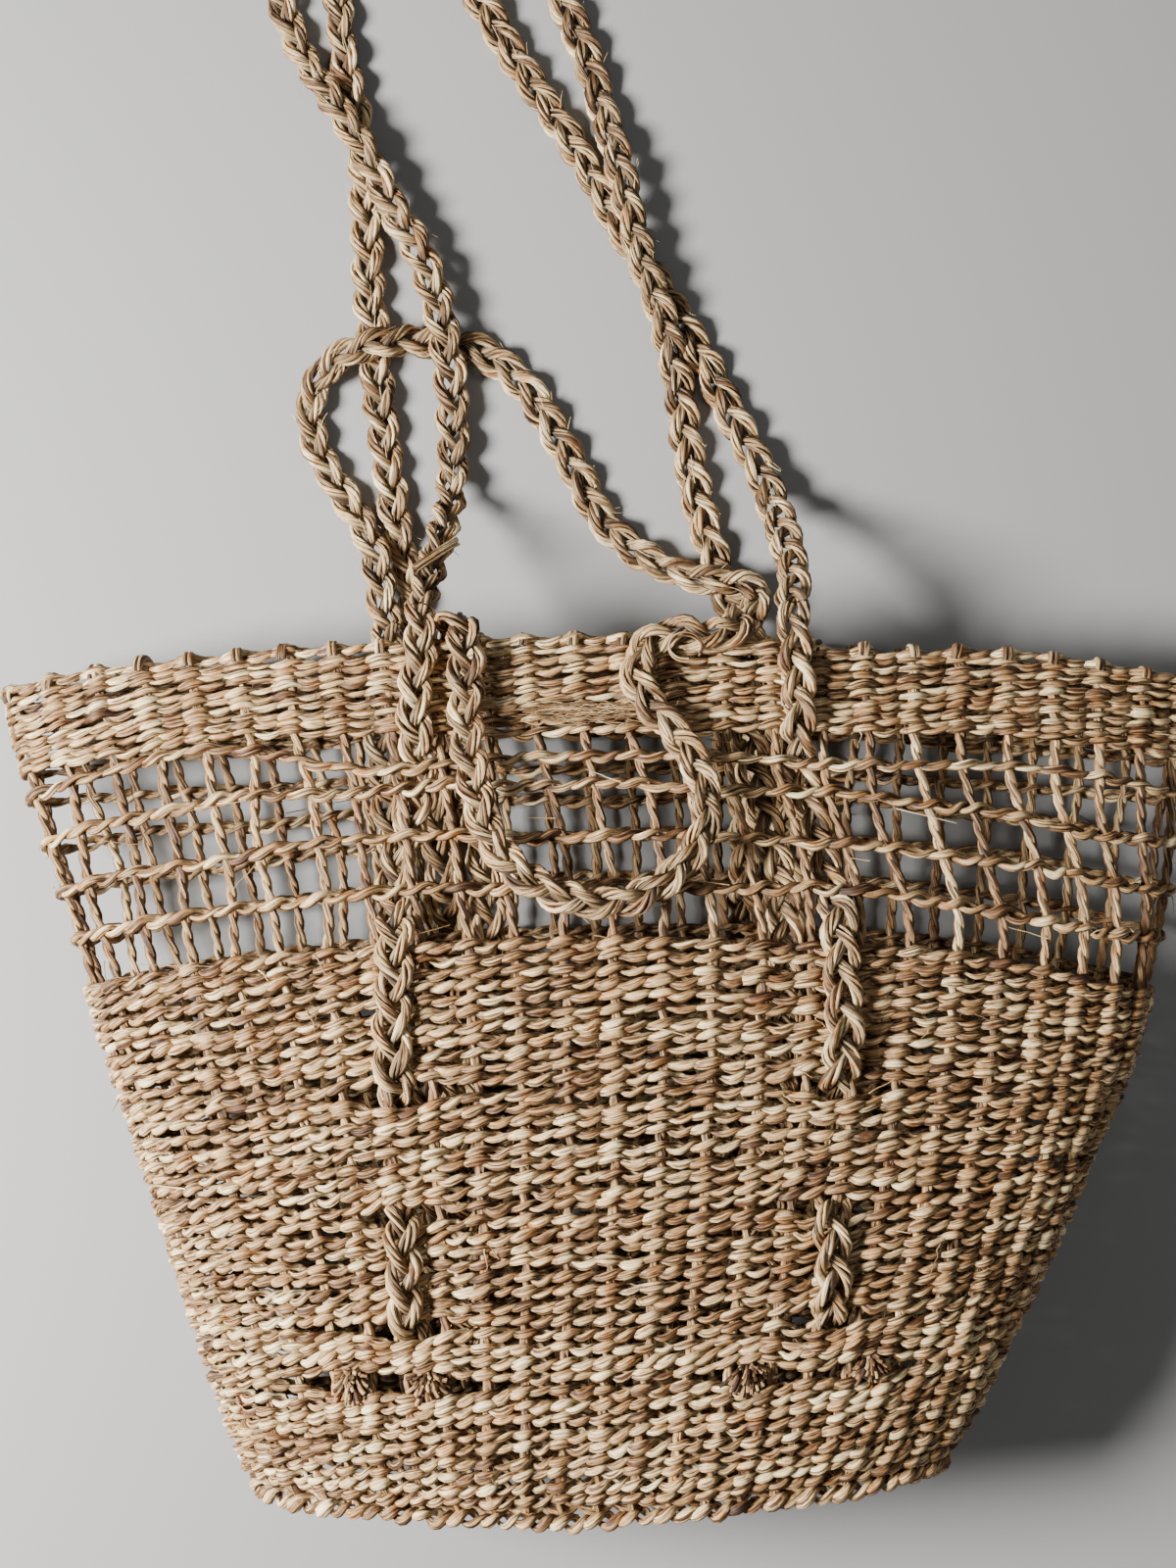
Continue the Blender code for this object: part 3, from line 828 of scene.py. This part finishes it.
def plain_floor(size, colour):
    mesh = bpy.data.meshes.new("floor")
    plane = bmesh.new()
    bmesh.ops.create_grid(plane, x_segments=1, y_segments=1, size=size / 2)
    plane.to_mesh(mesh)
    plane.free()
    floor = linked("floor", mesh)
    material = bpy.data.materials.new("pale_floor")
    material.use_nodes = True
    shader = material.node_tree.nodes["Principled BSDF"]
    shader.inputs["Base Color"].default_value = (*colour, 1)
    shader.inputs["Roughness"].default_value = 0.8
    mesh.materials.append(material)


def add_light(name, place, target, size, power, colour):
    data = bpy.data.lights.new(name, "AREA")
    data.shape = "DISK"
    data.size = size
    data.energy = power
    data.color = colour
    light = linked(name, data)
    light.location = place
    x, y, z = np.array(target, float) - np.array(place, float)
    light.rotation_euler = (math.atan2(math.hypot(x, y), -z), 0, math.atan2(-x, y))


def length_property(name, description, default, low, high):
    return bpy.props.FloatProperty(
        name=name, description=description, default=default, min=low, max=high, unit="LENGTH"
    )


class BASKET_PG_weave(bpy.types.PropertyGroup):
    row_pitch: length_property("Row pitch", "Height of one twined row of the lower wall", 0.0052, 0.003, 0.01)
    band_pitch: length_property("Band pitch", "Height of one twined row of the rim band", 0.0044, 0.003, 0.01)
    ply_radius: length_property(
        "Ply radius", "Radius of a weft ply where it passes over a stake", 0.00205, 0.001, 0.004
    )
    cord_radius: length_property(
        "Net ply radius", "Radius of a ply of the cords that cross the net", 0.0018, 0.001, 0.004
    )
    slot_spread: length_property("Slot spread", "How far rows part above and below a slot", 0.0046, 0.0, 0.01)


class BASKET_PG_handles(bpy.types.PropertyGroup):
    half_width: length_property(
        "Plait half width", "How far a strand swings to each side of the braid's middle", 0.0047, 0.002, 0.01
    )
    half_thickness: length_property(
        "Plait half thickness", "How far a strand rises and falls through the braid", 0.0019, 0.001, 0.004
    )
    period: length_property(
        "Plait period", "Length in which one strand goes once from side to side and back", 0.044, 0.02, 0.1
    )
    yarns: bpy.props.IntProperty(
        name="Yarns", description="Yarns in each of the three strands", default=5, min=2, max=8,
    )


class BASKET_PG_stage(bpy.types.PropertyGroup):
    floor_size: bpy.props.FloatProperty(
        name="Floor size", description="Width of the floor", default=8.0, min=1.0, unit="LENGTH",
    )
    floor_colour: bpy.props.FloatVectorProperty(
        name="Floor colour", description="Colour of the plain floor", subtype="COLOR",
        default=(0.27, 0.27, 0.266), min=0, max=1,
    )
    key_power: bpy.props.FloatProperty(
        name="Key light", description="Power of the light at the left", default=76.0, min=0.0, unit="POWER",
    )
    fill_power: bpy.props.FloatProperty(
        name="Fill light", description="Power of the light at the right", default=3.0, min=0.0, unit="POWER",
    )
    lens: bpy.props.FloatProperty(
        name="Lens", description="Focal length of the camera", default=53.89, min=10, unit="CAMERA",
    )


class Step:
    """What every operator does: it builds its pieces in the scene."""

    def execute(self, context):
        self.build(context.scene)
        return {"FINISHED"}


class BASKET_OT_stage(Step, bpy.types.Operator):
    """Sets out the floor, the lights and the camera"""

    bl_idname = "basket.stage"
    bl_label = "Stage"

    def build(self, scene):
        look = scene.basket_stage
        plain_floor(look.floor_size, look.floor_colour)
        add_light(
            "key_light", place=(-0.98, 0.02, 0.80), target=(0, 0.05, 0), size=0.45,
            power=look.key_power, colour=(1.0, 0.985, 0.965),
        )
        add_light(
            "fill_light", place=(0.9, 0.6, 1.2), target=(0, 0.1, 0), size=1.2,
            power=look.fill_power, colour=(0.96, 0.98, 1.0),
        )
        world = bpy.data.worlds.new("soft_studio")
        world.use_nodes = True
        sky = world.node_tree.nodes["Background"]
        sky.inputs["Color"].default_value = (1, 1, 1, 1)
        sky.inputs["Strength"].default_value = 0.13
        scene.world = world
        lens = bpy.data.cameras.new("camera")
        lens.lens = look.lens
        lens.sensor_width = 36
        lens.clip_start = 0.01
        scene.camera = linked("camera", lens)
        scene.camera.location = (-0.0059, 0.1106, 0.9996)


class BASKET_OT_handles(Step, bpy.types.Operator):
    """Plaits the four handles, each from its slot in the wall over the rim and back to its other slot"""

    bl_idname = "basket.handles"
    bl_label = "Braided handles"

    def build(self, scene):
        plait = scene.basket_handles
        for number, name in enumerate(HANDLES):
            line, share = handle_line(name)
            length = line_length(line)
            period = length / round(3 * length / plait.period) * 3
            widths = (plait.half_width, plait.half_thickness)
            braid = Braid(line, share, 40 + number, *widths, period, plait.yarns)
            first, last = share * braid.length
            self.make_legs(braid, name, first, last)
            self.make_rope(braid, name, first, last)

    def make_legs(self, braid, name, first, last):
        place, size = name.split("_")
        for side, start, end in (("left", 0.0, first), ("right", last, braid.length)):
            strands = Strands(7)
            braid.part(strands, start, end)
            node = f"leg_{size}_{place}_{side}"
            on_basket(strands, "braid_" + node, "braid", node, grass=braid_grass)

    def make_rope(self, braid, name, first, last):
        strands = Strands(17)
        braid.part(strands, first, last)
        rope = strands.make(f"braid_{name}", braid_grass())
        marks = np.linspace(first, last, max(round((last - first) / 0.005), 8))
        path = braid.at(marks, braid.line)
        if name == "front_short":
            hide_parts("loop_front_short")
        else:
            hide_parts(f"rope_{name}_left", f"rope_{name}_right", f"loop_{name}")
        loose = Strands(57)
        braid.hairs(loose, first, last, round((last - first) * 150))
        if name == "front_long":
            self.fray(braid, loose, first)
        if name == "front_short":
            self.curl(loose)
        for obj in (rope, loose.make(f"hairs_{name}", braid_grass())):
            if name == "front_short":
                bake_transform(obj)
            else:
                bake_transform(obj)

    def fray(self, braid, strands, first):
        """A bundle of loosened fibres that crosses the braid just past the rim."""
        chance = strands.chance
        u = np.linspace(0, 1, 8)
        for _fibre in range(14):
            marks = first + 0.018 + 0.022 * u + chance.normal(0, 0.0012)
            across = -0.0062 + 0.0125 * u + chance.normal(0, 0.0008)
            up = 0.0040 + 0.0010 * np.sin(math.pi * u) + chance.normal(0, 0.0004)
            placed = braid.beside(marks, across, up)
            strands.add(placed, 0.00042 * chance.normal(1, 0.15), chance.normal(0.6, 0.12), 0.95)

    def curl(self, strands):
        """A single fibre that has sprung out of the short handle in a ring."""
        angle = np.linspace(-0.6, 4.9, 22)
        middle = np.array((0.0325, 0.1640, 0.0735))
        ring_radius = 0.0065
        ring = np.stack([np.cos(angle), np.sin(angle) * 0.8, 0.25 * np.sin(angle * 0.5)], axis=1)
        for lift in (0.0, 0.0011):
            strands.add(middle + ring * ring_radius + (0, lift, lift), 0.00042, 0.55, 0.9)


class BASKET_OT_lower_wall(Step, bpy.types.Operator):
    """Twines the closely woven lower wall, in three bands of rows"""

    bl_idname = "basket.lower_wall"
    bl_label = "Lower wall"

    def build(self, scene):
        weave = scene.basket_weave
        rows = round(NET_BOTTOM * RISE_LENGTH / weave.row_pitch)
        top = level("wall_top", row_turns(ROW_POINTS))
        for number, band in enumerate(np.array_split((np.arange(rows) + 0.5) / rows, 3)):
            strands = Strands(100 + number)
            for share in band:
                rise = share * (NET_BOTTOM + share**2 * (top - NET_BOTTOM))
                twined_row(strands, rise, weave.ply_radius, ROW_OUT, 0.0010, weave.slot_spread)
            nodes = ["lower_wall"] if number == 0 else []
            on_basket(strands, f"twined_wall_{number + 1}", "weave", *nodes)


class BASKET_OT_stakes(Step, bpy.types.Operator):
    """Twists the upright stakes that the rows are twined round"""

    bl_idname = "basket.stakes"
    bl_label = "Stakes"

    def build(self, scene):
        for number, name in enumerate(("front_left", "front_right", "back_right", "back_left")):
            strands = Strands(200 + number)
            for stake in range(number * STAKES_PER_COMB, (number + 1) * STAKES_PER_COMB):
                twined_stake(
                    strands, stake, low=-0.01, high=0.985, radius=0.0015, twist_length=0.016, sway=0.10
                )
            on_basket(strands, f"twisted_stakes_{name}", "net", f"stakes_{name}")


class BASKET_OT_net_cords(Step, bpy.types.Operator):
    """Twines the four open cords that cross the net"""

    bl_idname = "basket.net_cords"
    bl_label = "Net cords"

    def build(self, scene):
        weave = scene.basket_weave
        for number in range(1, 5):
            strands = Strands(300 + number)
            rise = level(f"net_cord_{number}", row_turns(CORD_POINTS))
            # dark=0.45 keeps the painted shade of a cord ply lighter where it goes behind the stakes.
            twined_row(
                strands, rise, weave.cord_radius, ply_out=0.0025, ply_lift=0.0014,
                points_each=CORD_POINTS, waist=0.62, dark=0.45,
            )
            on_basket(strands, f"twined_net_cord_{number}", "net", f"net_cord_{number}")


class BASKET_OT_rim(Step, bpy.types.Operator):
    """Twines the rim band and its border of folded stake ends"""

    bl_idname = "basket.rim"
    bl_label = "Rim"

    def build(self, scene):
        weave = scene.basket_weave
        rows = round((1 - NET_TOP) * RISE_LENGTH / weave.band_pitch)
        strands = Strands(400)
        foot = level("band_foot", row_turns(ROW_POINTS))
        edge = level("rim_edge", row_turns(ROW_POINTS))
        for row in range(rows):
            rise = foot + (row + 0.4) / rows * (edge - foot)
            thick = 1.0 if row == rows - 1 else 0.84
            twined_row(strands, rise, weave.ply_radius * thick, ROW_OUT, ply_lift=0.0008)
        on_basket(strands, "twined_rim_band", "weave", "rim_band")
        self.make_border()

    def make_border(self):
        """Each stake end folds tightly over the last row and is tucked in behind it."""
        strands = Strands(401)
        chance = strands.chance
        u = np.linspace(0, 1, 11)
        fold_depth = 0.012
        for stake in range(STAKES):
            slant = chance.normal(0.12, 0.08)
            reach = chance.normal(0.0012, 0.0010)
            for ply in (0, 1):
                turn = (stake + 0.45 + 0.10 * ply + slant * (u - 0.5)) / STAKES
                angle = math.pi * (u * 1.2 - 0.1)
                edge = level("rim_edge", turn)
                rise = edge - fold_depth + (fold_depth + reach) * np.sin(angle)
                out = 0.0040 * np.cos(angle)
                radius = 0.0014 * (0.75 + 0.4 * np.sin(math.pi * u)) * chance.normal(1, 0.18)
                # Painted shade: each fold is darker towards its two ends, where it goes down in front of the
                # last row and is tucked in behind it.
                shade = 0.6 + 0.4 * np.sin(angle).clip(0)
                strands.add(wall(turn, rise, out), radius, chance.normal(0.44, 0.16), shade)
        on_basket(strands, "folded_rim_border", "weave", "rim_border")


class BASKET_OT_base(Step, bpy.types.Operator):
    """Twines the oval base and its thicker border"""

    bl_idname = "basket.base"
    bl_label = "Base"

    def build(self, scene):
        strands = Strands(500)
        twined_row(strands, -0.018, ply_radius=0.0024, ply_out=0.0030, ply_lift=0.0018)
        on_basket(strands, "twined_base_border", "weave", "base_border")
        self.make_panel()

    def make_panel(self):
        """Oval rows of two plies, each inside the last, that sink from the border to the flat of the base."""
        strands = Strands(501)
        step = np.arange(STAKES * BASE_POINTS) / BASE_POINTS
        edge = wall((step + 0.5) / STAKES, -0.004)
        middle = (edge.max(axis=0) + edge.min(axis=0)) / 2
        half = (edge.max(axis=0) - edge.min(axis=0)) / 2
        for row in range(int(half[2] / BASE_PITCH)):
            sunk = edge[:, 1] + (BASE_Y - BAG_MIDDLE[1] - edge[:, 1]) * smooth(row / 3)
            for ply in (0, 1):
                phase = math.pi * (step - ply)
                into = 0.003 + row * BASE_PITCH + 0.0016 * np.sin(phase)
                placed = np.empty_like(edge)
                for axis in (0, 2):
                    placed[:, axis] = middle[axis] + (edge[:, axis] - middle[axis]) * (1 - into / half[axis])
                placed[:, 1] = sunk - 0.0024 * np.cos(phase)
                radius = 0.0022 * (0.42 + 0.58 * np.abs(np.cos(phase)) ** 0.75)
                tone = strands.chance.normal(0.5, 0.1, STAKES)[(step + 0.5).astype(int) % STAKES]
                strands.add(placed, radius, tone, 0.9, closed=True)
        on_basket(strands, "twined_base", "weave", "base_panel")


class BASKET_OT_tufts(Step, bpy.types.Operator):
    """Fans out the cut ends of the handles below their last slots"""

    bl_idname = "basket.tufts"
    bl_label = "Cut ends"

    # Half a tuft's width in stakes, half its height as a rise, and how far it stands out in metres
    FIBRES = 80
    HALF_WIDE = 0.52
    HALF_HIGH = 0.021
    DEPTH = 0.0115

    def build(self, scene):
        for number, (name, column) in enumerate(TUFTS.items()):
            strands = Strands(600 + number)
            chance = strands.chance
            u = np.linspace(0, 1, 9)
            for _fibre in range(self.FIBRES):
                around = chance.uniform(0, 2 * math.pi)
                reach = math.sqrt(chance.uniform(0, 1))
                spread = (0.30 + 0.70 * u**1.6) * reach
                curl = chance.normal(0, 0.22) * u**2
                turn = (column + self.HALF_WIDE * (spread * math.cos(around) + curl)) / STAKES
                droop = chance.normal(0, 0.1) * u**3
                rise = TUFT_RISE + 0.010 - 0.020 * u + self.HALF_HIGH * (spread * math.sin(around) + droop)
                out = -0.004 + self.DEPTH * smooth(u * 1.1) * (1 - 0.45 * reach**2) * chance.normal(1, 0.08)
                radius = chance.uniform(0.0006, 0.0010)
                # Painted shade: each fibre is darker near its root in the slot and lighter towards its cut
                # end.
                shade = 0.45 + 0.55 * u
                strands.add(wall(turn, rise, out), radius, chance.normal(0.48, 0.20), shade)
            on_basket(strands, f"fanned_tuft_{name}", "braid", f"tuft_{name}", grass=end_grass)


class BASKET_OT_stray_fibres(Step, bpy.types.Operator):
    """Lifts fine hairs off the whole weave, and lays a fuzzy patch of them on the front of the rim band"""

    bl_idname = "basket.stray_fibres"
    bl_label = "Stray fibres"

    POINTS = 6
    HAIRS = 170
    PATCH_FIBRES = 70
    PATCH_STAKE = 11.5
    PATCH_RISE = 0.897

    def build(self, scene):
        strands = Strands(700)
        u = np.linspace(0, 1, self.POINTS)
        self.lift_hairs(strands, u)
        self.lay_patch(strands, u)
        on_basket(strands, "stray_fibres", "weave")

    def lift_hairs(self, strands, u):
        chance = strands.chance
        for _hair in range(self.HAIRS):
            start = chance.uniform(0, 1)
            bend = np.cumsum(chance.normal(0, 0.0006, self.POINTS))
            turn = start + bend + chance.normal(0, 0.012) * u
            rise = chance.uniform(0.02, 0.97) + chance.normal(0, 0.014) * u
            out = 0.0035 + chance.uniform(0.0005, 0.004) * u
            strands.add(wall(turn, rise, out), 0.00022 * (1.1 - u * 0.6), chance.normal(0.65, 0.15), 1.0)

    def lay_patch(self, strands, u):
        chance = strands.chance
        for _fibre in range(self.PATCH_FIBRES):
            bend = np.cumsum(chance.normal(0, 0.0009, self.POINTS))
            turn = (self.PATCH_STAKE + chance.uniform(0, 2.2)) / STAKES + (0.016 * u - 0.008) + bend
            rise = self.PATCH_RISE + chance.normal(0, 0.008) + np.cumsum(chance.normal(0, 0.002, self.POINTS))
            out = 0.0048 + chance.uniform(0, 0.0016) + 0.0008 * np.sin(u * 3)
            strands.add(wall(turn, rise, out), 0.00018, chance.normal(0.45, 0.12), 0.9)


class BASKET_PT_panel(bpy.types.Panel):
    bl_idname = "BASKET_PT_panel"
    bl_label = "Seagrass Basket"
    bl_space_type = "VIEW_3D"
    bl_region_type = "UI"
    bl_category = "Basket"

    def draw(self, context):
        layout = self.layout
        for group in ("basket_weave", "basket_handles", "basket_stage"):
            settings = getattr(context.scene, group)
            for name in settings.bl_rna.properties.keys():
                if name not in ("rna_type", "name"):
                    layout.prop(settings, name)
        for operator in OPERATORS:
            layout.operator(operator.bl_idname)


GROUPS = {
    "basket_weave": BASKET_PG_weave,
    "basket_handles": BASKET_PG_handles,
    "basket_stage": BASKET_PG_stage,
}
OPERATORS = (
    BASKET_OT_stage,
    BASKET_OT_handles,
    BASKET_OT_lower_wall,
    BASKET_OT_stakes,
    BASKET_OT_net_cords,
    BASKET_OT_rim,
    BASKET_OT_base,
    BASKET_OT_tufts,
    BASKET_OT_stray_fibres,
)


def register():
    for name, group in GROUPS.items():
        bpy.utils.register_class(group)
        setattr(bpy.types.Scene, name, bpy.props.PointerProperty(type=group))
    for operator in OPERATORS:
        bpy.utils.register_class(operator)
    bpy.utils.register_class(BASKET_PT_panel)


def unregister():
    bpy.utils.unregister_class(BASKET_PT_panel)
    for operator in reversed(OPERATORS):
        bpy.utils.unregister_class(operator)
    for name, group in reversed(GROUPS.items()):
        delattr(bpy.types.Scene, name)
        bpy.utils.unregister_class(group)


def main():
    register()
    for operator in OPERATORS:
        getattr(bpy.ops.basket, operator.bl_idname.removeprefix("basket."))()


if __name__ == "__main__":
    main()
